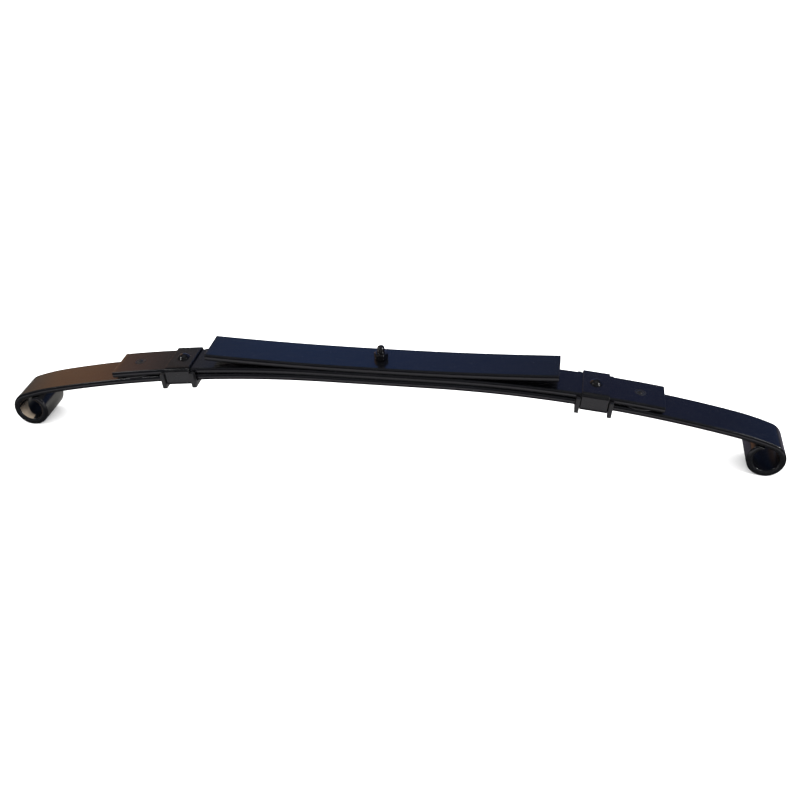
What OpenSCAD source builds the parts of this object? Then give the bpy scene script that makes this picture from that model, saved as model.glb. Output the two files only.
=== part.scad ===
// Three-leaf semi-elliptic leaf spring, with its arch up so that it stands on its two rolled eyes.
// X runs along the spring, Y across the leaves and Z up. The origin is under the centre bolt,
// on the plane that the eyes stand on.

/* [Leaf stock] */
// Width of the flat bar that all three leaves are made of
leaf_w = 45; // [40:0.5:50]
// Thickness of the main leaf and of the second leaf
leaf_t = 6.7; // [6:0.1:7.5]
// Radius on the long edges of every leaf
edge_r = 0.9; // [0.6:0.1:2]

/* [Main leaf] */
// Half length of the flat seat in the middle
seat_half = 56.5; // [50:0.5:62]
// Radius of the arch, at the underside
main_r = 1366; // [1200:1:1600]
// Angle of the arch, from the end of the seat to the shoulder
main_arc = 13.05; // [12:0.05:14]
// Radius of the shoulder next to the eye, at the underside
shoulder_r = 265; // [200:1:350]
// Angle of the shoulder
shoulder_arc = 8.5; // [6:0.1:10]
// Bore of the rolled eyes
eye_bore_d = 26; // [24:0.5:28]
// Gap between the rolled end of the leaf and its own underside
eye_gap = 1.2; // [0.8:0.1:2]

/* [Second leaf] */
// Half length of the flat middle
second_half = 65; // [60:0.5:70]
// Radius of the arch, at the underside
second_r = 1420; // [1400:1:1500]
// Distance from the centre bolt to each end
second_reach = 293; // [285:1:300]

/* [Top leaf] */
// Thickness of the top leaf
top_t = 7.3; // [6:0.1:8]
// Half length of the flat middle
top_half = 12; // [8:1:20]
// Radius of the upward curve, at the underside
top_r = 3700; // [3400:50:4200]
// Distance from the centre bolt to each end
top_reach = 185.6; // [170:0.2:190]

/* [Flexing zone] */
// Distance from the centre bolt to the line that each half of a leaf bends about
flex_x = 110; // [100:1:130]
// Gap at the bending line, which closes a little at the top as the spring is pressed down
flex_gap = 0.9; // [0.8:0.1:1.5]

/* [Centre bolt] */
// Diameter of the bolt
bolt_d = 8; // [6:1:10]
// Diameter of the round locating head under the seat
bolt_head_d = 14; // [12:0.5:16]
// Height of the locating head
bolt_head_h = 6; // [5:0.5:8]
// Length of bolt that stands out of the nut
bolt_stub = 8.2; // [4:0.1:10]
// Width of the nut across its flats
nut_flats = 13; // [10:1:17]
// Height of the nut
nut_h = 7; // [6:0.5:8]

/* [Rebound clips] */
// Distance from the centre bolt to the middle of the left clip
clip_left_x = 217.5; // [215:0.5:225]
// Distance from the centre bolt to the middle of the right clip
clip_right_x = 223; // [215:0.5:225]
// Width of the steel strap along the spring
strap_w = 28; // [25:0.5:28]
// Thickness of the strap
strap_t = 2.2; // [2:0.1:2.6]
// Inner radius of the strap's bends
strap_bend = 2.5; // [2.5:0.1:3]
// How far each end of the strap is folded in under the main leaf
strap_fold = 17; // [12:1:20]
// Length of the liner along the spring, over its lips
liner_w = 37.5; // [37.5:0.5:40]
// Thickness of the liner's web
liner_t = 0.9; // [0.8:0.1:1.1]
// Thickness of the liner's lips
lip_t = 4.2; // [3:0.1:4.5]
// How far the lips stand out past the strap
lip_stand = 2.6; // [2:0.1:3]
// Diameter of the rivet's shank
rivet_d = 8; // [7:0.5:9]
// Diameter of the rivet's round head
rivet_head_d = 13.6; // [12:0.2:15]
// Height of the rivet's head
rivet_head_h = 4.2; // [3:0.1:5]
// Depth of the countersink that the rivet's foot fills
rivet_foot_h = 2; // [1:0.1:3]

/* [Tip pads] */
// Distance from the centre bolt to the middle of each pad
pad_x = 268; // [266:0.5:269]
// Diameter of the pad
pad_d = 46; // [40:0.5:47]
// Thickness of the pad's disc
pad_t = 1.2; // [1:0.1:1.3]
// Diameter of the pad's button, which fills a hole in the second leaf
button_d = 11; // [9:0.5:12]
// How far the button stands out of the second leaf
button_stand = 1; // [0.2:0.1:1.4]

/* [Hidden] */
$fn = 96;

// Clearance between pieces that slide past each other, and between a fastener and its hole
slide_gap = 0.35;
hole_gap = 0.6;
// Room under the main leaf inside a clip, which also takes up the two leaves' different arches
under_gap = 0.6;
cut = 1; // extra length of a cutting body past the face that it cuts
// How far one stretch of a leaf reaches into the next, and how much thicker the eye's wall is on each face
weld = 0.05;

eye_r = eye_bore_d / 2;
eye_or = eye_r + leaf_t + 2 * weld;
// Centres of curvature in the plane of the arch, with the seat's underside at height 0
shoulder_c = [seat_half + (main_r - shoulder_r) * sin(main_arc),
    -main_r + (main_r - shoulder_r) * cos(main_arc)];
eye_a = main_arc + shoulder_arc;
eye_c = shoulder_c + (shoulder_r - eye_r - weld) * [sin(eye_a), cos(eye_a)];
// Height of the seat's underside above the plane that the eyes stand on
seat_z = eye_or - eye_c[1];

// Slope of a leaf at a distance x, for an arch of radius r that starts at x0
function slope_at(x, x0, r) = asin((x - x0) / r);
// Angle that a length takes up on an arch of radius r
function angle_of(length, r) = length / r * 180 / PI;
main_flex_a = slope_at(flex_x, seat_half, main_r + leaf_t / 2);
second_flex_a = slope_at(flex_x, second_half, second_r + leaf_t / 2);
// What each stretch of a leaf gives up at its bending line
main_gap_a = angle_of(flex_gap / 2, main_r);
second_gap_a = angle_of(flex_gap / 2, second_r);
top_end_a = slope_at(top_reach, top_half, top_r);

// Heights of the main leaf's and the second leaf's upper faces, above the seat's underside
function main_top_z(x) = -main_r + sqrt(pow(main_r + leaf_t, 2) - pow(x - seat_half, 2));
function second_top_z(x) = leaf_t - second_r + sqrt(pow(second_r + leaf_t, 2) - pow(x - second_half, 2));
// Slope of the second leaf's upper face
function second_slope(x) = slope_at(x, second_half, second_r + leaf_t);
// Depths below a clip's datum, the second leaf's upper face at x: the main leaf's underside,
// the upper side of the liner's web, and the strap's underside
function main_under(x) = (second_top_z(x) - main_top_z(x)) * cos(second_slope(x)) + leaf_t;
function web_top(x) = -main_under(x) - under_gap;
function strap_under(x) = web_top(x) - liner_t - strap_t;
strap_in = leaf_w / 2 + slide_gap + liner_t;
strap_out = strap_in + strap_t;
// The liner's walls end beside the second leaf
liner_top = -leaf_t / 2;

// Cross-section of the flat bar, from x = 0 to its thickness, with rounded long edges
module bar_section(t = leaf_t) {
    y = leaf_w / 2 - edge_r;
    translate([edge_r, -leaf_w / 2]) square([t - 2 * edge_r, leaf_w]);
    translate([0, -y]) square([t, 2 * y]);
    for (px = [edge_r, t - edge_r], py = [-y, y]) translate([px, py]) circle(edge_r);
}

// Turns a profile, given as [radius, width], about an axis along Y.
// Angles are measured from +Z towards +X.
module swept(from, to) {
    rotate([90, 0, 0]) rotate([0, 0, 90 - to]) rotate_extrude(angle = to - from) children();
}

// A length of bar with its underside at height 0 at x = 0, which bends down towards -X
module arc_bar(r, angle, t = leaf_t) {
    translate([0, 0, -r]) swept(-angle, 0) translate([r, 0]) bar_section(t);
}

// A straight length of bar, centred on the bolt, with its underside at height z
module flat_bar(half, z, t = leaf_t) {
    translate([-half, 0, z]) rotate([90, 0, 90]) linear_extrude(2 * half) rotate(90) bar_section(t);
}

// Holds its children on both sides, the left one as a mirror image
module both_sides() {
    children();
    mirror([1, 0, 0]) children();
}

// Places children at the datum of a clip or pad: the second leaf's upper face, along its slope
module on_second(x) {
    translate([x, 0, second_top_z(x)]) rotate([0, second_slope(x), 0]) children();
}

// Reaches up through the first two leaf thicknesses
module bolt_hole() {
    translate([0, 0, -cut]) cylinder(d = bolt_d + hole_gap, h = 2 * (leaf_t + cut));
}

module main_leaf_centre() color([0.13, 0.14, 0.18]) translate([0, 0, seat_z]) difference() {
    union() {
        flat_bar(seat_half, 0);
        both_sides() translate([-seat_half, 0, 0]) arc_bar(main_r, main_flex_a - main_gap_a);
    }
    bolt_hole();
}

// The rolled eye, drawn from the end of the arch, where the underside is level at height 0 at x = 0
module eye() {
    centre = (shoulder_r - eye_r - weld) * [sin(shoulder_arc), cos(shoulder_arc)] - [0, shoulder_r];
    turn = 340; // the roll stops short of a full turn
    // The end of the roll is cut to follow the shoulder, between these angles of the shoulder
    cut_from = shoulder_arc - 8;
    cut_to = shoulder_arc - 0.3;
    difference() {
        translate([centre[0], 0, centre[1]]) swept(shoulder_arc, shoulder_arc + turn)
            translate([eye_r, 0]) bar_section(leaf_t + 2 * weld);
        translate([0, 0, -shoulder_r]) swept(cut_from, cut_to)
            translate([shoulder_r - eye_gap, -leaf_w]) square([2 * leaf_t, 2 * leaf_w]);
    }
}

// The right half of the main leaf, from its bending line to its eye
module main_arm() translate([0, 0, seat_z]) {
    translate([seat_half, 0, -main_r]) rotate([0, main_arc, 0]) translate([0, 0, main_r]) {
        arc_bar(main_r, main_arc - main_flex_a - main_gap_a);
        mirror([1, 0, 0]) arc_bar(shoulder_r, shoulder_arc + 2 * weld);
        eye();
    }
}

module main_leaf_right() color([0.13, 0.14, 0.18]) main_arm();
module main_leaf_left() color([0.13, 0.14, 0.18]) mirror([1, 0, 0]) main_arm();

module second_leaf_centre() color([0.15, 0.16, 0.2]) translate([0, 0, seat_z]) difference() {
    union() {
        flat_bar(second_half, leaf_t);
        both_sides() translate([-second_half, 0, leaf_t]) arc_bar(second_r, second_flex_a - second_gap_a);
    }
    bolt_hole();
}

// The right half of the second leaf, with the holes for the rivet at clip_x and the pad's button
module second_arm(clip_x) translate([0, 0, seat_z]) difference() {
    translate([second_half, 0, leaf_t - second_r])
        swept(second_flex_a + second_gap_a, second_slope(second_reach)) translate([second_r, 0]) bar_section();
    on_second(clip_x) {
        translate([0, 0, -leaf_t - cut]) cylinder(d = rivet_d, h = leaf_t + 2 * cut);
        rivet_foot();
    }
    on_second(pad_x) translate([0, 0, -leaf_t - cut])
        cylinder(d = button_d + hole_gap / 2, h = leaf_t + 2 * cut);
}

module second_leaf_right() color([0.15, 0.16, 0.2]) second_arm(clip_right_x);
module second_leaf_left() color([0.15, 0.16, 0.2]) mirror([1, 0, 0]) second_arm(clip_left_x);

module top_leaf() color([0.16, 0.2, 0.3]) translate([0, 0, seat_z + 2 * leaf_t]) difference() {
    union() {
        flat_bar(top_half, 0, top_t);
        // Bars as in the arches, turned over
        both_sides() translate([top_half, 0, top_t]) rotate([0, 180, 0])
            arc_bar(top_r - top_t, top_end_a, top_t);
    }
    bolt_hole();
}

module centre_bolt() color([0.1, 0.1, 0.11]) translate([0, 0, seat_z]) {
    chamfer = 1;
    top = 2 * leaf_t + top_t + nut_h + bolt_stub;
    translate([0, 0, -bolt_head_h]) cylinder(d1 = bolt_head_d - 2 * chamfer, d2 = bolt_head_d, h = chamfer);
    translate([0, 0, -bolt_head_h + chamfer]) cylinder(d = bolt_head_d, h = bolt_head_h - chamfer);
    cylinder(d = bolt_d, h = top - chamfer);
    translate([0, 0, top - chamfer]) cylinder(d1 = bolt_d, d2 = bolt_d - 2 * chamfer, h = chamfer);
}

module centre_nut() color([0.12, 0.12, 0.13]) translate([0, 0, seat_z + 2 * leaf_t + top_t]) difference() {
    // A hexagon's diameter across its corners, from its width across flats
    cylinder(d = nut_flats / cos(30), h = nut_h, $fn = 6);
    translate([0, 0, -cut]) cylinder(d = bolt_d, h = nut_h + 2 * cut);
}

// A block with its two lower corners rounded, seen along the spring
module tub_outline(half, low, high, r) {
    translate([-half, low + r]) square([2 * half, high - low - r]);
    translate([-half + r, low]) square([2 * (half - r), r + cut]);
    for (s = [-1, 1]) translate([s * (half - r), low + r]) circle(r);
}

// A block with all four corners rounded, seen along the spring
module round_outline(half, low, high, r) {
    translate([-half, low + r]) square([2 * half, high - low - 2 * r]);
    translate([-half + r, low]) square([2 * (half - r), high - low]);
    for (s = [-1, 1], z = [low + r, high - r]) translate([s * (half - r), z]) circle(r);
}

// Extrudes an outline in the plane across the spring, centred along the spring
module across(w) {
    rotate([90, 0, 90]) linear_extrude(w, center = true) children();
}

module clip_strap(x) translate([0, 0, seat_z]) on_second(x) difference() {
    low = strap_under(x);
    across(strap_w) difference() {
        round_outline(strap_out, low, strap_t, strap_bend + strap_t);
        round_outline(strap_in, low + strap_t, 0, strap_bend);
        // The folded ends stop short of each other under the main leaf
        translate([-strap_out + strap_fold, low - cut])
            square([2 * (strap_out - strap_fold), strap_t + 2 * cut]);
    }
    cylinder(d = rivet_d, h = 3 * strap_t, center = true);
}

module clip_strap_right() color([0.1, 0.1, 0.12]) clip_strap(clip_right_x);
module clip_strap_left() color([0.1, 0.1, 0.12]) mirror([1, 0, 0]) clip_strap(clip_left_x);

// The liner seen along the spring: out is its half width, low its underside and web its upper side
module liner_section(out, low, web) {
    difference() {
        tub_outline(out, low, liner_top, strap_bend);
        translate([-leaf_w / 2 - slide_gap, web])
            square([leaf_w + 2 * slide_gap, liner_top - web + cut]);
    }
}

module clip_liner(x) translate([0, 0, seat_z]) on_second(x) {
    across(liner_w) liner_section(strap_in, web_top(x) - liner_t, web_top(x));
    for (side = [-1, 1]) translate([side * (liner_w - lip_t) / 2, 0, 0]) across(lip_t)
        liner_section(strap_out + lip_stand, strap_under(x) - lip_stand, web_top(x));
}

module clip_liner_right() color([0.2, 0.2, 0.22]) clip_liner(clip_right_x);
module clip_liner_left() color([0.2, 0.2, 0.22]) mirror([1, 0, 0]) clip_liner(clip_left_x);

// The rivet's foot, hammered flush into a countersink in the second leaf's underside. Its cone ends
// a little inside the shank.
module rivet_foot() {
    translate([0, 0, -leaf_t - weld])
        cylinder(d1 = rivet_d + 2 * rivet_foot_h, d2 = rivet_d - 2 * weld, h = rivet_foot_h + weld);
}

module clip_rivet(x) translate([0, 0, seat_z]) on_second(x) {
    // A segment of a sphere whose chord is the head's diameter
    ball_r = (pow(rivet_head_d / 2, 2) + pow(rivet_head_h, 2)) / (2 * rivet_head_h);
    rivet_foot();
    translate([0, 0, -leaf_t]) cylinder(d = rivet_d, h = leaf_t + strap_t);
    translate([0, 0, strap_t]) rotate_extrude() intersection() {
        translate([0, rivet_head_h - ball_r]) circle(ball_r);
        square([rivet_head_d, rivet_head_h]);
    }
}

module clip_rivet_right() color([0.1, 0.1, 0.12]) clip_rivet(clip_right_x);
module clip_rivet_left() color([0.1, 0.1, 0.12]) mirror([1, 0, 0]) clip_rivet(clip_left_x);

// A disc that follows the second leaf's underside, with a button through the leaf
module tip_pad() translate([0, 0, seat_z]) {
    span = 2; // angle of the arch on each side of the pad's middle, more than the disc takes up
    pad_a = second_slope(pad_x);
    intersection() {
        translate([second_half, 0, leaf_t - second_r]) swept(pad_a - span, pad_a + span)
            translate([second_r - pad_t, -pad_d]) square([pad_t, 2 * pad_d]);
        on_second(pad_x) translate([0, 0, -2 * leaf_t]) cylinder(d = pad_d, h = 2 * leaf_t);
    }
    on_second(pad_x) translate([0, 0, -leaf_t - pad_t / 2])
        cylinder(d = button_d, h = leaf_t + pad_t / 2 + button_stand);
}

module tip_pad_right() color([0.14, 0.14, 0.15]) tip_pad();
module tip_pad_left() color([0.14, 0.14, 0.15]) mirror([1, 0, 0]) tip_pad();

top_leaf();
second_leaf_centre();
main_leaf_centre();
centre_bolt();
centre_nut();
main_leaf_left();
main_leaf_right();
second_leaf_left();
second_leaf_right();
clip_strap_left();
clip_strap_right();
clip_liner_left();
clip_liner_right();
clip_rivet_left();
clip_rivet_right();
tip_pad_left();
tip_pad_right();
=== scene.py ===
"""A three-leaf leaf spring in glossy black paint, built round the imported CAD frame.

Lengths are in metres, in the CAD's frame: X along the spring, Y across the leaves, Z up.
The right half of what repeats is built, and the left half is its mirror image.
"""
import math

import bmesh
import bpy
import numpy as np
from mathutils import Matrix, Vector


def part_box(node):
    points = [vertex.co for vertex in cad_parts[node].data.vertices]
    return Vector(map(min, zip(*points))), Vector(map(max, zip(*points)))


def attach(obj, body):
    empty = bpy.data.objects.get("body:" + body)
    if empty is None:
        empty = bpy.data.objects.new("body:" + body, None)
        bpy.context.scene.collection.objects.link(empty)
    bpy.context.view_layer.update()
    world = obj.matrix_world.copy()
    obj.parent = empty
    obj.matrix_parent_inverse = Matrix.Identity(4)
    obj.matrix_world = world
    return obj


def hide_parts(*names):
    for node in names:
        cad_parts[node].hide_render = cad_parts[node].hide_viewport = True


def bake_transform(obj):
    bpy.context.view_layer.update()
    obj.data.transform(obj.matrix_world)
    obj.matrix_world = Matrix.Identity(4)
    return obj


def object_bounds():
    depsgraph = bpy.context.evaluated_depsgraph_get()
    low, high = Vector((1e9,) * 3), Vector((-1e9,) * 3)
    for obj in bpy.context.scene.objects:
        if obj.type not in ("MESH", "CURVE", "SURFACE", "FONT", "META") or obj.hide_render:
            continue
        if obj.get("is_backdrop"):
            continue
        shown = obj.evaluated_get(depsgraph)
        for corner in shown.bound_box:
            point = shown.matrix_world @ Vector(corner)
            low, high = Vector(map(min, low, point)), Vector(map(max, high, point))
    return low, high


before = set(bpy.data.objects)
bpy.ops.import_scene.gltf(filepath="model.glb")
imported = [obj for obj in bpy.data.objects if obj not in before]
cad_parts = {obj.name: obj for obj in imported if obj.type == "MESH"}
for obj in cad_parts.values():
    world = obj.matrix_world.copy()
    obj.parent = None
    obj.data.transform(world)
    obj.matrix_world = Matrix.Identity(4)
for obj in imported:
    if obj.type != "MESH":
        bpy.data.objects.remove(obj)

CAD_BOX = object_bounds()
MM = 0.001

# The bars that the leaves are made of
LEAF_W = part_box("top_leaf")[1].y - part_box("top_leaf")[0].y
LEAF_T = 6.7 * MM
EDGE_R = 0.9 * MM
SIDE_TURN = math.radians(38)  # how far a bar's bulging side turns, from its middle to each corner
END_R = 0.6 * MM  # rounding of a bar's sheared end
# The main leaf, by its underside
SEAT_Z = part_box("main_leaf_centre")[1].z - LEAF_T
SEAT_HALF = 56.5 * MM
MAIN_R, MAIN_ARC = 1366 * MM, math.radians(13.05)
SHOULDER_R, SHOULDER_ARC = 265 * MM, math.radians(8.5)
EYE_R = 13.05 * MM
EYE_GAP = 1.2 * MM  # between the rolled end and the underside that it follows
EYE_TIP_T = 1.3 * MM  # thickness of the rolled end's tip
# The second leaf
SECOND_HALF = 65 * MM
SECOND_R = 1420 * MM
SECOND_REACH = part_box("second_leaf_right")[1].x
# The top leaf, which curves upwards
TOP_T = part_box("centre_nut")[0].z - SEAT_Z - 2 * LEAF_T
TOP_HALF = 12 * MM
TOP_R = 3700 * MM
TOP_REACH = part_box("top_leaf")[1].x
# Centre bolt and nut
BOLT_R = 4 * MM
THREAD_PITCH, THREAD_DEPTH = 1.25 * MM, 0.62 * MM
BOLT_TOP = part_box("centre_bolt")[1].z
HEAD_R = 7 * MM
HEAD_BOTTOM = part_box("centre_bolt")[0].z
NUT_LOW, NUT_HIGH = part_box("centre_nut")[0].z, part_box("centre_nut")[1].z
NUT_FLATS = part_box("centre_nut")[1].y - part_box("centre_nut")[0].y
# Rebound clips
CLIP_X = {"left": 217.5 * MM, "right": 223 * MM}
STRAP_W, STRAP_T = 28 * MM, 2.2 * MM
STRAP_BEND = 2.5 * MM
STRAP_FOLD = 17 * MM
STRAP_EDGE = 0.55 * MM
SLIDE_GAP = 0.35 * MM
LINER_W, LINER_T = 37.5 * MM, 0.9 * MM
LIP_T, LIP_FLARE = 4.2 * MM, 0.6 * MM  # thickness of a lip, and what its outer face adds to that at its root
LIP_STAND = 2.6 * MM
UNDER_GAP = 0.6 * MM
RIVET_R, RIVET_H = 6.8 * MM, 4.2 * MM
SHANK_R = 4 * MM
# Tip pads
PAD_X = 268 * MM
PAD_R, PAD_T = 23 * MM, 1.2 * MM
BUTTON_R = 5.5 * MM

HOLD = 0.35 * MM  # distance from a rounded edge to the loop that keeps the next face flat
CORNER_STEPS, SIDE_STEPS = 5, 6  # faces round a bar's corner, and up its side


# ---------------------------------------------------------------- shapes

def follow(moves, x=0.0, z=0.0, heading=0.0):
    """Stations (x, z, heading) along straight runs and arcs in one plane.
    A move is (length, bend, step), where bend is the turn per metre, positive to the left."""
    stations = [(x, z, heading)]
    for length, bend, step in moves:
        count = max(1, math.ceil(length / step))
        for i in range(1, count + 1):
            run = length * i / count
            h = heading + bend * run
            if bend:
                px = x + (math.sin(h) - math.sin(heading)) / bend
                pz = z + (math.cos(heading) - math.cos(h)) / bend
            else:
                px = x + run * math.cos(heading)
                pz = z + run * math.sin(heading)
            stations.append((px, pz, h))
        x, z, heading = stations[-1]
    return stations


def bar_section(width, thick, radius, inset=0.0):
    """A flat bar's section as (across, up) pairs, with its lower side at height 0. Its sides bulge, as those
    of rolled spring steel do. The points go up the right side and come back down the left."""
    half_w, half_t = width / 2 - inset, thick / 2 - inset
    r = max(min(radius - inset, half_t * 0.9), 0.05 * MM)
    side_r = (half_t - r) / math.sin(SIDE_TURN) + r
    side_x = half_w - side_r
    corner_x = side_x + (side_r - r) * math.cos(SIDE_TURN)
    quarter = math.pi / 2
    corner = np.linspace(SIDE_TURN, quarter, CORNER_STEPS + 1)
    side = np.linspace(-SIDE_TURN, SIDE_TURN, SIDE_STEPS + 1)[1:-1]
    upper = [(corner_x + r * math.cos(a), half_t - r + r * math.sin(a)) for a in corner]
    upper.append((corner_x - HOLD, half_t))
    right = [(x, -z) for x, z in upper[::-1]]
    right += [(side_x + side_r * math.cos(a), side_r * math.sin(a)) for a in side] + upper
    return [(x, z + thick / 2) for x, z in right + [(-x, -z) for x, z in right]]


def is_edge_point(index, count):
    """Whether a point of bar_section lies on one of its four corners."""
    place = index % (count // 2)
    return 0 < min(place, count // 2 - 1 - place) <= CORNER_STEPS


def is_lower_point(index, count):
    """Whether a point of bar_section lies on its lower side, or on the lower half of a corner there."""
    return min(index, count - 1 - index) <= CORNER_STEPS // 2


def loft(name, rings, edge_rows=None, seam=False, closed=False, hidden=None):
    """A closed mesh through rings of points, all of one count. A bar gives edge_rows, the rings at its ends,
    and its attribute "edge" is 1 along rounded edges. hidden says how far inside a roll a point is, from
    its ring and its place in that. With seam, the first cap has sharp edges, because it meets its twin."""
    bm = bmesh.new()
    edge, inside = bm.verts.layers.float.new("edge"), bm.verts.layers.float.new("inside")
    rows = []
    for k, ring in enumerate(rings):
        row = [bm.verts.new(p) for p in ring]
        for i, v in enumerate(row):
            if edge_rows is not None and (k in edge_rows or is_edge_point(i, len(row))):
                v[edge] = 1.0
            if hidden:
                v[inside] = hidden(k, i)
        rows.append(row)
    count = len(rows[0])
    pairs = list(zip(rows, rows[1:] + rows[:1])) if closed else list(zip(rows, rows[1:]))
    for a, b in pairs:
        for i in range(count):
            j = (i + 1) % count
            bm.faces.new((a[i], a[j], b[j], b[i]))
    if not closed:
        first = bm.faces.new(rows[0][::-1])
        bm.faces.new(rows[-1])
        if seam:
            for e in first.edges:
                e.smooth = False
    return finished(name, bm)


def finished(name, bm):
    """The object made of bm, smooth shaded, with its faces turned outwards."""
    bmesh.ops.recalc_face_normals(bm, faces=bm.faces)
    for f in bm.faces:
        f.smooth = True
    mesh = bpy.data.meshes.new(name)
    bm.to_mesh(mesh)
    bm.free()
    obj = bpy.data.objects.new(name, mesh)
    bpy.context.scene.collection.objects.link(obj)
    return obj


def bar_rings(stations, plane, width, thick, radius, rounds=(True, True)):
    """Rings of a flat bar whose lower side follows the stations, with rounded ends where rounds says so.
    plane turns (x, z, across) into a point. thick is one number, or one for each station."""
    thicks = thick if hasattr(thick, "__len__") else [thick] * len(stations)

    def ring(station, t, inset=0.0, ahead=0.0):
        """The section at a station, drawn in by inset and moved ahead along the bar."""
        x, z, h = station
        along, up = (math.cos(h), math.sin(h)), (-math.sin(h), math.cos(h))
        return [plane(x + ahead * along[0] + rise * up[0], z + ahead * along[1] + rise * up[1], across)
                for across, rise in bar_section(width, t, radius, inset)]

    def end(station, t, way):
        """The rings of a rounded end, outwards. way is 1 at the last station, and -1 at the first."""
        r = min(END_R, 0.35 * t)
        turns = [math.radians(a) for a in (18, 36, 54, 72, 90)]
        made = [ring(station, t, r * (1 - math.cos(a)), way * r * math.sin(a)) for a in turns]
        return made + [ring(station, t, min(r + HOLD, 0.45 * t), way * r)]

    rings = [ring(s, t) for s, t in zip(stations, thicks)]
    before = end(stations[0], thicks[0], -1)[::-1] if rounds[0] else []
    after = end(stations[-1], thicks[-1], 1) if rounds[1] else []
    edge_rows = set(range(len(before)))
    edge_rows |= set(range(len(before) + len(rings), len(before) + len(rings) + len(after)))
    return before + rings + after, edge_rows


def arch_plane(x, z, across):
    """A point of the plane that the leaves curve in."""
    return (x, across, z)


def lathe(name, profile, steps=64):
    """A closed mesh turned about Z from (radius, height) pairs that start and end on the axis."""
    bm = bmesh.new()
    turns = [2 * math.pi * i / steps for i in range(steps)]
    poles = [bm.verts.new((0, 0, profile[k][1])) for k in (0, -1)]
    rows = [[bm.verts.new((r * math.cos(a), r * math.sin(a), z)) for a in turns] for r, z in profile[1:-1]]
    for i in range(steps):
        j = (i + 1) % steps
        bm.faces.new((poles[0], rows[0][i], rows[0][j]))
        bm.faces.new((poles[1], rows[-1][j], rows[-1][i]))
        for a, b in zip(rows, rows[1:]):
            bm.faces.new((a[i], b[i], b[j], a[j]))
    return finished(name, bm)


def rounded(points, radius, steps=5):
    """An open line of (a, b) points, with an arc-like curve of about that radius for each inner corner."""
    pts = [np.array(p, float) for p in points]
    line = [pts[0]]
    for before, corner, after in zip(pts, pts[1:], pts[2:]):
        to_a, to_b = before - corner, after - corner
        reach = min(radius, np.linalg.norm(to_a) * 0.45, np.linalg.norm(to_b) * 0.45)
        a = corner + to_a / np.linalg.norm(to_a) * reach
        b = corner + to_b / np.linalg.norm(to_b) * reach
        for i in range(steps + 1):
            t = i / steps
            line.append((1 - t) ** 2 * a + 2 * t * (1 - t) * corner + t ** 2 * b)
    return line + [pts[-1]]


def sharpened(obj, degrees):
    """Marks edges that turn more than this as sharp."""
    obj.data.set_sharp_from_angle(angle=math.radians(degrees))
    return obj


def on_side(obj, side):
    """Names obj for its side of the spring, and mirrors its mesh if that is the left side."""
    obj.name = f"{obj.name}_{side}"
    obj.data.name = obj.name
    if side == "left":
        bm = bmesh.new()
        bm.from_mesh(obj.data)
        bmesh.ops.scale(bm, vec=(-1, 1, 1), verts=bm.verts)
        bmesh.ops.reverse_faces(bm, faces=bm.faces)
        bm.to_mesh(obj.data)
        bm.free()
    return obj


def bevelled(obj, width):
    """Rounds obj's sharp edges, for good."""
    bm = bmesh.new()
    bm.from_mesh(obj.data)
    limit = math.radians(35)
    edges = [e for e in bm.edges if len(e.link_faces) == 2 and e.calc_face_angle() > limit]
    bmesh.ops.bevel(bm, geom=edges, offset=width, offset_type="OFFSET", segments=3, profile=0.5,
                    affect="EDGES", clamp_overlap=True, harden_normals=False)
    for f in bm.faces:
        f.smooth = True
    bm.to_mesh(obj.data)
    bm.free()
    return obj


# ---------------------------------------------------------------- leaves

def main_leaf_half():
    """The right half of the main leaf, from the centre bolt to the tip of its rolled eye."""
    shoulder_to_eye = SHOULDER_R - EYE_R
    cut_r = SHOULDER_R - EYE_GAP

    def eye_thickness(turn):
        """Thickness of the roll after this turn, which tapers where its end follows the shoulder."""
        along, off = shoulder_to_eye * math.cos(turn), shoulder_to_eye * math.sin(turn)
        return min(LEAF_T, -along + math.sqrt(max(cut_r ** 2 - off ** 2, 0)) - EYE_R)

    step = math.radians(3)  # turn from one ring of the eye to the next
    turn = math.radians(270)  # of the whole roll, which goes on from here until its tip is thin
    while eye_thickness(turn + step / 4) > EYE_TIP_T:
        turn += step / 4
    stations = follow([
        (SEAT_HALF, 0, 8 * MM),
        (MAIN_R * MAIN_ARC, -1 / MAIN_R, 4 * MM),
        (SHOULDER_R * SHOULDER_ARC, -1 / SHOULDER_R, 2.5 * MM),
        (EYE_R * turn, -1 / EYE_R, EYE_R * step),
    ], z=SEAT_Z)
    roll_start = -(MAIN_ARC + SHOULDER_ARC)
    thick = [eye_thickness(roll_start - h) if h < roll_start - math.pi else LEAF_T for _, _, h in stations]
    rings, edge_rows = bar_rings(stations, arch_plane, LEAF_W, thick, EDGE_R, (False, True))

    def hidden(k, i):
        """The bar's lower side is marked from a sixth of a turn into the roll, where its paint is duller,
        reflects less and has no clear coat.
        """
        dull_from, dull_span = 60, 50
        turned = math.degrees(roll_start - stations[min(k, len(stations) - 1)][2])
        depth = min(1.0, max(0.0, (turned - dull_from) / dull_span))
        return depth if is_lower_point(i, len(rings[0])) else 0.0

    return loft("main_leaf_half", rings, edge_rows, seam=True, hidden=hidden)


def second_leaf_half():
    """The right half of the second leaf."""
    arc = math.asin((SECOND_REACH - SECOND_HALF) / (SECOND_R + LEAF_T))
    stations = follow([
        (SECOND_HALF, 0, 8 * MM),
        (SECOND_R * arc - END_R, -1 / SECOND_R, 4 * MM),
    ], z=SEAT_Z + LEAF_T)
    rings, edge_rows = bar_rings(stations, arch_plane, LEAF_W, LEAF_T, EDGE_R, (False, True))
    return loft("second_leaf_half", rings, edge_rows, seam=True)


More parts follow.
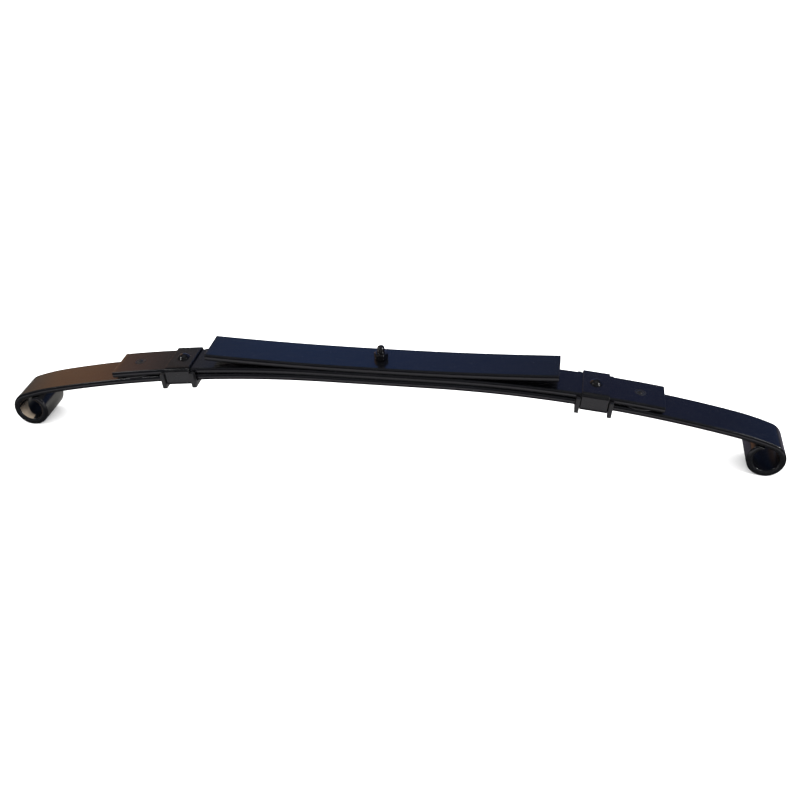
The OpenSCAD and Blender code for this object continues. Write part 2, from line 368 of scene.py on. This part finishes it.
def top_leaf():
    """The short overload leaf, in one piece."""
    arc = math.asin((TOP_REACH - TOP_HALF) / TOP_R)
    half = follow([
        (TOP_HALF, 0, 6 * MM),
        (TOP_R * arc - END_R, 1 / TOP_R, 5 * MM),
    ], z=SEAT_Z + 2 * LEAF_T)
    stations = [(-x, z, -h) for x, z, h in half[:0:-1]] + half
    rings, edge_rows = bar_rings(stations, arch_plane, LEAF_W, TOP_T, EDGE_R)
    return loft("top_leaf_bar", rings, edge_rows)


# ---------------------------------------------------------------- centre bolt and nut

def hexagon(flats, corner_r, per_flat=8, per_corner=3):
    """Points round a hexagon with slightly rounded corners."""
    apothem = flats / 2
    reach = (apothem - corner_r) * math.tan(math.radians(30))
    points = []
    for k in range(6):
        a = math.radians(60 * k + 30)
        out, along = np.array((math.cos(a), math.sin(a))), np.array((-math.sin(a), math.cos(a)))
        points += [apothem * out + along * reach * (2 * i / per_flat - 1) for i in range(per_flat + 1)]
        centre = (apothem - corner_r) * out + along * reach
        for i in range(1, per_corner):
            b = a + math.radians(60 * i / per_corner)
            points.append(centre + corner_r * np.array((math.cos(b), math.sin(b))))
    return points


def centre_nut():
    """A hexagonal nut, chamfered at 45 degrees at both ends, round the bolt."""
    outline = hexagon(NUT_FLATS, 0.45 * MM)
    face_r = NUT_FLATS / 2 * 0.97  # radius of the flat face inside each chamfer
    flat = 0.6 * MM  # width of the ring that keeps the upper face flat
    bore_r = BOLT_R + 0.1 * MM
    sink_w, sink_h = 0.7 * MM, 0.9 * MM  # the bore's countersink
    soft = 0.15 * MM  # rounding of the lower edge
    lower_edge = 0.985  # the lower edge is drawn in to this share of the outline
    # The wider rounding of the upper edge: distances in from the flats, and up from the chamfer's foot
    upper_round = [(0.3, 0.17), (0.18, 0.06), (0.08, -0.05), (0.02, -0.2), (0, -0.36), (0, -0.6)]

    def circle(r, z):
        """A round ring with a point for each point of the outline."""
        return [(*(p / np.linalg.norm(p) * r), z) for p in outline]

    def drop(p):
        """How much lower the chamfer is at p than the face."""
        return max(0.0, np.linalg.norm(p) - face_r)

    def rim(inset, up):
        """The upper edge's ring that lies inset from the flats, and up from where the chamfer meets them."""
        return [(*(p * (1 - inset / np.linalg.norm(p))), NUT_HIGH + min(0.0, up - drop(p))) for p in outline]

    rings = [
        circle(bore_r, NUT_HIGH - sink_h), circle(bore_r + sink_w, NUT_HIGH),
        circle(face_r - flat, NUT_HIGH),
        *[rim(inset * MM, up * MM) for inset, up in upper_round],
        [(*p, NUT_LOW + drop(p) + 3 * soft) for p in outline],
        [(*p, NUT_LOW + drop(p) + soft) for p in outline],
        [(*(p * lower_edge), NUT_LOW + drop(p)) for p in outline],
        circle(face_r - soft, NUT_LOW), circle(bore_r, NUT_LOW),
    ]
    return sharpened(loft("hex_nut", rings, closed=True), degrees=38)


def centre_bolt():
    """The threaded bolt that clamps the leaves, from its round locating head to its tip above the nut."""
    steps = 40
    per_turn = 12  # rings to each turn of the thread
    flank = 1.6  # how much steeper the thread is than a plain zigzag, which leaves its crests flat
    tip_round = 2.8 * MM  # height of the domed tip
    tip_end = 0.98  # the dome stops this near to its top, with a small flat
    thread_low = NUT_LOW + 1 * MM
    soft = 0.5 * MM
    base = [(HEAD_R - 1 * MM, HEAD_BOTTOM), (HEAD_R, HEAD_BOTTOM + 1 * MM), (HEAD_R, SEAT_Z),
            (BOLT_R, SEAT_Z), (BOLT_R, thread_low)]
    smooth_part = rounded([(0, HEAD_BOTTOM), *base], soft)[1:]
    turns = [2 * math.pi * i / steps for i in range(steps)]
    rows = [[(r * math.cos(a), r * math.sin(a), z) for a in turns] for r, z in smooth_part]
    count = math.ceil((BOLT_TOP - thread_low) / THREAD_PITCH * per_turn)
    for k in range(1, count + 1):
        z = thread_low + (BOLT_TOP - thread_low) * k / count
        tip_rise = min(tip_end, max(0.0, 1 - (BOLT_TOP - z) / tip_round))
        limit = BOLT_R * math.sqrt(1 - tip_rise ** 2)
        row = []
        for i, a in enumerate(turns):
            wave = ((z - thread_low) / THREAD_PITCH - i / steps) % 1.0
            crest = min(1.0, flank * abs(2 * wave - 1))
            groove = THREAD_DEPTH * (1 - crest) * min(1.0, (z - thread_low) / THREAD_PITCH)
            r = min(BOLT_R - groove, limit)
            row.append((r * math.cos(a), r * math.sin(a), z))
        rows.append(row)
    return sharpened(loft("centre_bolt_threaded", rows), degrees=50)


# ---------------------------------------------------------------- clips and pads

def slope_on_second(x):
    """The slope of the second leaf's upper face at x, as an angle."""
    return math.asin((x - SECOND_HALF) / (SECOND_R + LEAF_T))


def on_second(x):
    """The matrix of a clip's or pad's own frame: on the second leaf's upper face at x, along its slope."""
    a = slope_on_second(x)
    z = SEAT_Z + LEAF_T - SECOND_R + (SECOND_R + LEAF_T) * math.cos(a)
    return Matrix.Translation((x, 0, z)) @ Matrix.Rotation(a, 4, "Y")


def placed(obj, matrix):
    """Moves obj's mesh by matrix, so that its origin stays at the row's."""
    obj.data.transform(matrix)
    return obj


def depth_in_clip(x):
    """Depth of the liner's web below the second leaf's upper face, in a clip at x."""
    slope = slope_on_second(x)
    datum = LEAF_T - SECOND_R + (SECOND_R + LEAF_T) * math.cos(slope)
    main_top = -MAIN_R + math.sqrt((MAIN_R + LEAF_T) ** 2 - (x - SEAT_HALF) ** 2)
    return (datum - main_top) * math.cos(slope) + LEAF_T + UNDER_GAP


def clip_strap(x):
    """The bent steel strap: its top, its two legs and its ends, folded in under the main leaf."""
    low = -depth_in_clip(x) - LINER_T
    inside = LEAF_W / 2 + SLIDE_GAP + LINER_T
    fold = STRAP_FOLD - STRAP_T - STRAP_BEND
    corner = (STRAP_BEND * math.pi / 2, -1 / STRAP_BEND, STRAP_BEND * math.radians(11.25))
    leg = (-low - 2 * STRAP_BEND, 0, 4 * MM)
    stations = follow([
        (fold - END_R, 0, 4 * MM), corner, leg, corner,
        (2 * (inside - STRAP_BEND), 0, 6 * MM), corner, leg, corner, (fold - END_R, 0, 4 * MM),
    ], x=-(inside + STRAP_T - STRAP_FOLD) - END_R, z=low, heading=math.pi)
    rings, edge_rows = bar_rings(stations, lambda y, z, across: (across, y, z), STRAP_W, STRAP_T, STRAP_EDGE)
    return placed(loft("clip_strap_steel", rings, edge_rows), on_second(x))


def clip_liner(x):
    """The moulded channel between the strap and the leaves, with a thick lip on each side of the strap."""
    lip = LINER_T + STRAP_T + LIP_STAND
    end = LINER_W / 2
    right = [(end + LIP_FLARE, 0), (end + LIP_FLARE * 0.7, lip * 0.35), (end, lip * 0.7), (end, lip),
             (end - LIP_T, lip), (end - LIP_T, LINER_T)]
    section = right + [(-u, n) for u, n in right[::-1]]
    top = -LEAF_T / 2
    bend = 1.6 * MM  # inner radius of the channel's lower corners
    steps = 8

    def outline(n):
        """The channel's U at n outside its inner face, from its left top to its right top."""
        half, low, r = LEAF_W / 2 + SLIDE_GAP + n, -depth_in_clip(x) - n, min(bend + n, STRAP_BEND)
        turns = [math.radians(90 * i / steps) for i in range(steps + 1)]
        left = [(-half, top), (-half, low + r + HOLD)]
        left += [(-half + r - r * math.cos(a), low + r - r * math.sin(a)) for a in turns]
        left += [(-half + r + HOLD, low)]
        return left + [(-y, z) for y, z in left[::-1]]

    lines = [(u, outline(n)) for u, n in section]
    rings = [[(u, *line[k]) for u, line in lines] for k in range(len(lines[0][1]))]
    return placed(bevelled(loft("clip_liner_moulded", rings), 0.4 * MM), on_second(x))


def clip_rivet(x):
    """A round-headed rivet through the strap and the second leaf."""
    steps = 12
    ball = (RIVET_R ** 2 + RIVET_H ** 2) / (2 * RIVET_H)
    low = STRAP_T + RIVET_H - ball
    widest = math.asin(RIVET_R / ball)
    turns = [widest * i / steps for i in range(steps)]
    dome = [(ball * math.sin(a), low + ball * math.cos(a)) for a in turns]
    edge = [(RIVET_R, STRAP_T + 0.5 * MM), (RIVET_R, STRAP_T), (SHANK_R, STRAP_T)]
    skirt = rounded([dome[-1], *edge], 0.35 * MM)
    profile = [*dome[:-1], *skirt, (SHANK_R, -LEAF_T), (0, -LEAF_T)]
    return placed(lathe("clip_rivet_head", profile), on_second(x))


def tip_pad(x):
    """The disc between the leaves' ends, and its button, which shows in a hole through the second leaf."""
    disc = rounded([(BUTTON_R, -LEAF_T), (PAD_R, -LEAF_T), (PAD_R, -LEAF_T - PAD_T), (0, -LEAF_T - PAD_T)],
                   0.4 * MM)
    # The button from its middle outwards, in mm: a dome, a groove round it and a bead at its edge
    dome = [(0, 1.5), (0.7, 1.44), (1.4, 1.26), (2.1, 0.95), (2.7, 0.54), (3.0, 0.24), (3.2, 0.1)]
    groove = [(3.6, 0.06), (4.4, 0.1)]
    bead = [(4.8, 0.2), (5.1, 0.3), (5.4, 0.33), (5.7, 0.26), (5.9, 0.1), (6.0, -0.05)]
    top = [(r * MM, z * MM) for r, z in dome + groove + bead]
    under_bead = [(BUTTON_R, -0.6 * MM)]
    pad = lathe("tip_pad_moulded", top + under_bead + disc, 96)
    follow_arch(pad)
    return placed(pad, on_second(x))


def follow_arch(obj):
    """Bends a flat piece to the second leaf's arch."""
    for v in obj.data.vertices:
        v.co.z -= v.co.x ** 2 / (2 * SECOND_R)


# ---------------------------------------------------------------- materials

class Nodes:
    """A material's or world's node tree, with short ways to add and join nodes."""

    def __init__(self, tree):
        self.tree = tree
        tree.nodes.clear()

    def add(self, kind, values=None, **settings):
        """A new node. values are its inputs: plain values, or other nodes' outputs to link."""
        node = self.tree.nodes.new(kind)
        for key, value in settings.items():
            setattr(node, key, value)
        for key, value in (values or {}).items():
            if isinstance(value, bpy.types.NodeSocket):
                self.tree.links.new(value, node.inputs[key])
            else:
                node.inputs[key].default_value = value
        return node

    def noise(self, place, scale, detail=3.0, roughness=0.55):
        """Noise from 0 to 1, with scale lumps to the metre."""
        values = {"Vector": place, "Scale": scale, "Detail": detail, "Roughness": roughness}
        return self.add("ShaderNodeTexNoise", values).outputs["Fac"]

    def ramp(self, fac, low, high, start, end):
        """start at low, end at high, smooth in between."""
        values = {"Value": fac, "From Min": low, "From Max": high, "To Min": start, "To Max": end}
        return self.add("ShaderNodeMapRange", values, interpolation_type="SMOOTHSTEP").outputs["Result"]

    def math(self, operation, a, b):
        return self.add("ShaderNodeMath", {0: a, 1: b}, operation=operation).outputs[0]

    def mix(self, fac, a, b):
        return self.add("ShaderNodeMix", {"Factor": fac, 6: a, 7: b}, data_type="RGBA").outputs[2]


# Painted light: the pale cream colour of the pool of light painted into the left eye's bore, where light
# falls in through its opening.
PAINTED_LIGHT_COLOUR = (0.23, 0.185, 0.14, 1)


def coated(name, dark, light, gloss, coat, peel, streaks, rolled=False):
    """Black paint on steel, or a moulded plastic. dark and light are its colour's limits, gloss its
    roughness where it shines and where it is dull, coat the clear coat's weight, peel the depth of its
    orange peel, and streaks how much finer the grain is across the bar than along it. It is worn where a
    mesh's attribute "edge" says so. On a rolled leaf it is also dull, reflects less and has no clear coat
    where "inside" says so. Where that and the attribute of the left eye's painted patch both say so, a pool
    of light is painted into its colour in pale cream."""
    material = bpy.data.materials.new(name)
    material.use_nodes = True
    n = Nodes(material.node_tree)
    place = n.add("ShaderNodeTexCoord").outputs["Object"]
    grain_place = n.add("ShaderNodeMapping", {"Vector": place, "Scale": (1, streaks, streaks)}).outputs[0]
    cloud = n.noise(place, 22, 4)
    grain = n.noise(grain_place, 60, 5)
    speck = n.noise(place, 900, 2)
    edge = n.add("ShaderNodeAttribute", attribute_name="edge").outputs["Fac"]
    worn = n.math("MULTIPLY", edge, n.ramp(grain, 0.52, 0.68, 0, 1))
    tone = n.math("ADD", n.math("MULTIPLY", cloud, 0.6), n.math("MULTIPLY", worn, 0.5))
    colour = n.mix(n.ramp(tone, 0.2, 0.75, 0, 1), (*dark, 1), (*light, 1))
    dull = n.math("ADD", n.ramp(grain, 0.4, 0.72, gloss[0], gloss[1]), n.ramp(speck, 0.68, 0.8, 0, 0.12))
    tint, clear_coat = (1, 1, 1, 1), coat
    if rolled:
        inside = n.add("ShaderNodeAttribute", attribute_name="inside").outputs["Fac"]
        # Painted light: a pool of light painted into the colour of the left eye's bore.
        painted_light = n.ramp(n.add("ShaderNodeAttribute", attribute_name="painted_light").outputs["Fac"], 0, 1, 0, 1)
        colour = n.mix(n.math("MULTIPLY", painted_light, inside), colour, PAINTED_LIGHT_COLOUR)
        dull = n.math("ADD", dull, n.math("MULTIPLY", inside, 0.25))
        tint = n.mix(inside, tint, (0.1, 0.1, 0.1, 1))
        clear_coat = n.math("MULTIPLY", n.math("SUBTRACT", 1.0, inside), coat)
    height = n.math("ADD", n.noise(place, 420, 2, 0.4), n.math("MULTIPLY", n.noise(grain_place, 45, 3), 1.6))
    bump = n.add("ShaderNodeBump", {"Strength": 1.0, "Distance": peel, "Height": height}).outputs[0]
    shader = n.add("ShaderNodeBsdfPrincipled", {
        "Base Color": colour, "Roughness": dull, "Normal": bump, "IOR": 1.5, "Specular Tint": tint,
        "Coat Weight": clear_coat, "Coat Roughness": 0.06, "Coat Normal": bump,
    })
    n.add("ShaderNodeOutputMaterial", {"Surface": shader.outputs[0]})
    return material


def make_materials():
    """The looks by the name of the record's slot, and the leaf paint once more for a rolled leaf."""
    leaf_paint = ((0.0005, 0.0006, 0.0009), (0.0014, 0.0016, 0.0026), (0.16, 0.24), 0.3, 0.012 * MM, 6)
    return {
        "leaf_paint": coated("leaf_paint", *leaf_paint),
        "rolled_leaf_paint": coated("rolled_leaf_paint", *leaf_paint, rolled=True),
        "clip_paint": coated("clip_paint", (0.001, 0.001, 0.0012), (0.0035, 0.0035, 0.004),
                             (0.15, 0.28), 0.25, 0.02 * MM, 2),
        "bolt_paint": coated("bolt_paint", (0.001, 0.001, 0.0012), (0.0035, 0.0035, 0.004),
                             (0.12, 0.22), 0.8, 0.015 * MM, 1),
        "liner_plastic": coated("liner_plastic", (0.003, 0.003, 0.0033), (0.007, 0.007, 0.0075),
                                (0.34, 0.46), 0.1, 0.02 * MM, 1),
        "pad_plastic": coated("pad_plastic", (0.003, 0.003, 0.0033), (0.007, 0.007, 0.0075),
                              (0.3, 0.42), 0.15, 0.02 * MM, 1),
    }


MATERIALS = make_materials()


def dressed(obj, slot, rolled=False):
    """Gives obj the material of the record's slot, or its rolled version."""
    obj.data.materials.clear()
    obj.data.materials.append(MATERIALS[f"rolled_{slot}" if rolled else slot])
    return obj


# ---------------------------------------------------------------- assembly

SIDES = {"right": Vector((1, 1, 1)), "left": Vector((-1, 1, 1))}


def wear_left_eye(obj):
    """Marks the pool of light painted at the near end of the left eye's bore, where light falls in through
    its opening: above 0 inside the painted patch. The patch is on the bore's left wall, from its bottom to a
    little above its middle, and reaches farther into the bore the higher it is."""
    slant, near = 0.71, -21  # the slanting edge: how fast it goes in for each mm up, and its Y at the floor
    top, right = 24, -399  # the patch's other edges, in mm
    fall, soft = 3, 1.5  # how fast it ends past those, and the width of its soft edge
    painted_light = obj.data.attributes.new("painted_light", "FLOAT", "POINT")
    for v in obj.data.vertices:
        x, y, z = v.co / MM
        within = slant * z + near - y - fall * max(0.0, z - top) - fall * max(0.0, x - right)
        painted_light.data[v.index].value = max(-10.0, within / soft)


def add_half_leaf(maker, nodes, rolled=False):
    """Puts in both halves of a leaf that bends at each side. If it is rolled, it has an eye at each end."""
    for side, mirror in SIDES.items():
        obj = dressed(on_side(maker(), side), "leaf_paint", rolled)
        if rolled:
            # Paints a pool of light into the left eye's bore.
            wear_left_eye(obj)
        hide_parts(*[n.format(side) for n in nodes])
        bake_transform(obj)


def add_pair(maker, places, slot, node):
    """Puts in a piece of each side that rides on the second leaf's arm, at its distance from the bolt."""
    for side in SIDES:
        obj = dressed(on_side(maker(places[side]), side), slot)
        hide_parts(f"{node}_{side}")
        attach(obj, f"second_arm_{side}")


def add_to_centre(obj, slot, node):
    """Puts in a piece that stays with the middle of the spring."""
    dressed(obj, slot)
    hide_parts(node)
    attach(obj, "centre")


add_half_leaf(main_leaf_half, ["main_leaf_{}", "main_leaf_centre"], rolled=True)
add_half_leaf(second_leaf_half, ["second_leaf_{}", "second_leaf_centre"])
add_to_centre(top_leaf(), "leaf_paint", "top_leaf")
add_to_centre(centre_bolt(), "bolt_paint", "centre_bolt")
add_to_centre(centre_nut(), "bolt_paint", "centre_nut")
add_pair(clip_strap, CLIP_X, "clip_paint", "clip_strap")
add_pair(clip_liner, CLIP_X, "liner_plastic", "clip_liner")
add_pair(clip_rivet, CLIP_X, "clip_paint", "clip_rivet")
add_pair(tip_pad, {side: PAD_X for side in SIDES}, "pad_plastic", "tip_pad")


# ---------------------------------------------------------------- floor, light and camera

def add_floor():
    """A plain white floor, which the spring stands on. Glossy paint sees it as a table of over a metre
    across, dark close to the spring with a painted shadow, grey in front of it and pale behind its left end,
    and darkness past that."""
    bm = bmesh.new()
    bmesh.ops.create_grid(bm, x_segments=8, y_segments=8, size=9.0)
    floor = finished("floor", bm)
    material = bpy.data.materials.new("floor_white")
    material.use_nodes = True
    n = Nodes(material.node_tree)
    place = n.add("ShaderNodeTexCoord").outputs["Object"]
    white = n.mix(n.noise(place, 3), (0.90, 0.90, 0.90, 1), (0.93, 0.93, 0.93, 1))
    parts = n.add("ShaderNodeSeparateXYZ", {0: place}).outputs
    away = n.add("ShaderNodeVectorMath", {0: place}, operation="LENGTH").outputs["Value"]
    # Painted shadow: what glossy paint sees of the floor is dark close in front of the spring.
    front = n.mix(n.ramp(parts["Y"], -0.13, -0.05, 0, 1), (0.25, 0.245, 0.26, 1), (0.05, 0.05, 0.053, 1))
    back = n.mix(n.ramp(parts["X"], -0.3, 0.0, 0, 1), (0.35, 0.34, 0.32, 1), (0.067, 0.063, 0.08, 1))
    near = n.mix(n.ramp(parts["Y"], -0.03, 0.06, 0, 1), front, back)
    table = n.mix(n.ramp(away, 0.45, 0.8, 0, 1), near, (0.02, 0.02, 0.025, 1))
    glossy = n.add("ShaderNodeLightPath").outputs["Is Glossy Ray"]
    shader = n.add("ShaderNodeBsdfDiffuse", {"Color": n.mix(glossy, white, table)})
    n.add("ShaderNodeOutputMaterial", {"Surface": shader.outputs[0]})
    floor.data.materials.append(material)
    floor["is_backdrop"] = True


def add_light(name, place, size, power):
    """A square white light at place, which points at the frame's origin."""
    light = bpy.data.lights.new(name, "AREA")
    light.shape, light.size, light.energy = "SQUARE", size, power
    obj = bpy.data.objects.new(name, light)
    obj.location = place
    obj.rotation_mode = "QUATERNION"
    obj.rotation_quaternion = (-Vector(place)).to_track_quat("-Z", "Y")
    bpy.context.scene.collection.objects.link(obj)


# What glossy paint reflects behind the spring, from the left of the room to its right: the X part of the
# direction, and a colour
ROOM = [
    (-0.74, (0.14, 0.13, 0.13)), (-0.66, (0.34, 0.25, 0.19)), (-0.60, (0.72, 0.40, 0.23)),
    (-0.55, (0.76, 0.40, 0.23)), (-0.50, (0.46, 0.28, 0.23)), (-0.44, (0.20, 0.18, 0.17)),
    (-0.36, (0.14, 0.18, 0.32)), (-0.22, (0.11, 0.21, 0.54)), (-0.12, (0.11, 0.17, 0.42)),
    (-0.05, (0.09, 0.13, 0.28)), (0.15, (0.085, 0.105, 0.26)), (0.45, (0.06, 0.095, 0.24)),
]
ROOM_LEFT, ROOM_RIGHT = -0.8, 0.6  # the span of directions that the room's colours are laid along


def add_world():
    """White light from all round. What glossy paint reflects is a dim room: a warm wall and blue windows
    behind the spring, a grey wall ahead of it, and a grey ceiling with a dark rim."""
    world = bpy.data.worlds.new("studio")
    bpy.context.scene.world = world
    world.use_nodes = True
    n = Nodes(world.node_tree)
    way = n.add("ShaderNodeTexCoord").outputs["Generated"]
    parts = n.add("ShaderNodeSeparateXYZ", {0: way}).outputs
    span = {"Value": parts["X"], "From Min": ROOM_LEFT, "From Max": ROOM_RIGHT}
    across = n.add("ShaderNodeMapRange", span).outputs["Result"]
    room = n.add("ShaderNodeValToRGB", {"Fac": across})
    stops = room.color_ramp.elements
    for i, (x, colour) in enumerate(ROOM):
        at = (x - ROOM_LEFT) / (ROOM_RIGHT - ROOM_LEFT)
        stop = stops[i] if i < 2 else stops.new(at)
        stop.position, stop.color = at, (*colour, 1)
    high = n.ramp(parts["Z"], 0.58, 0.75, 0, 1)
    ceiling = n.mix(n.ramp(parts["Z"], 0.85, 0.95, 0, 1), (0.05, 0.05, 0.06, 1), (0.33, 0.34, 0.37, 1))
    ahead = n.mix(n.ramp(parts["Z"], 0.15, 0.45, 0, 1), (0.07, 0.07, 0.075, 1), (0.24, 0.25, 0.29, 1))
    seen = n.mix(n.ramp(parts["Y"], -0.2, 0.1, 0, 1), ahead, room.outputs["Color"])
    seen = n.mix(high, seen, ceiling)
    glossy = n.add("ShaderNodeLightPath").outputs["Is Glossy Ray"]
    soft = n.add("ShaderNodeBackground", {"Color": (1, 1, 1, 1), "Strength": 2.3}).outputs[0]
    mirror = n.add("ShaderNodeBackground", {"Color": seen, "Strength": 0.74}).outputs[0]
    both = n.add("ShaderNodeMixShader", {0: glossy, 1: soft, 2: mirror}).outputs[0]
    n.add("ShaderNodeOutputWorld", {"Surface": both})


def add_camera():
    """The camera: above and to the right of the near side, a little tilted."""
    azimuth, elevation, roll = (math.radians(a) for a in (10.056, 31.315, -1.557))
    target = Vector((18.73 * MM, 0, 49.8 * MM))
    distance = 1174.6 * MM
    back = Vector((math.sin(azimuth) * math.cos(elevation), -math.cos(azimuth) * math.cos(elevation),
                   math.sin(elevation)))
    right = Vector((math.cos(azimuth), math.sin(azimuth), 0))
    up = back.cross(right)
    tilted_right = math.cos(roll) * right + math.sin(roll) * up
    tilted_up = math.cos(roll) * up - math.sin(roll) * right
    data = bpy.data.cameras.new("camera")
    data.sensor_width, data.lens = 36.0, 49.54
    camera = bpy.data.objects.new("camera", data)
    camera.matrix_world = Matrix.Translation(target + back * distance) @ Matrix(
        (tilted_right, tilted_up, back)).transposed().to_4x4()
    bpy.context.scene.collection.objects.link(camera)
    bpy.context.scene.camera = camera


add_floor()
add_world()
for way in (-1, 1):
    add_light("softbox", (1.12 * way, -0.42, 1.1), 0.34, 4)
add_light("window", (1.6, -0.75, 0.7), 0.14, 15)
add_camera()
bpy.context.scene.view_settings.view_transform = "Standard"

boxes = {"cad": CAD_BOX, "visual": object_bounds()}
{name: [list(corner) for corner in box] for name, box in boxes.items()}
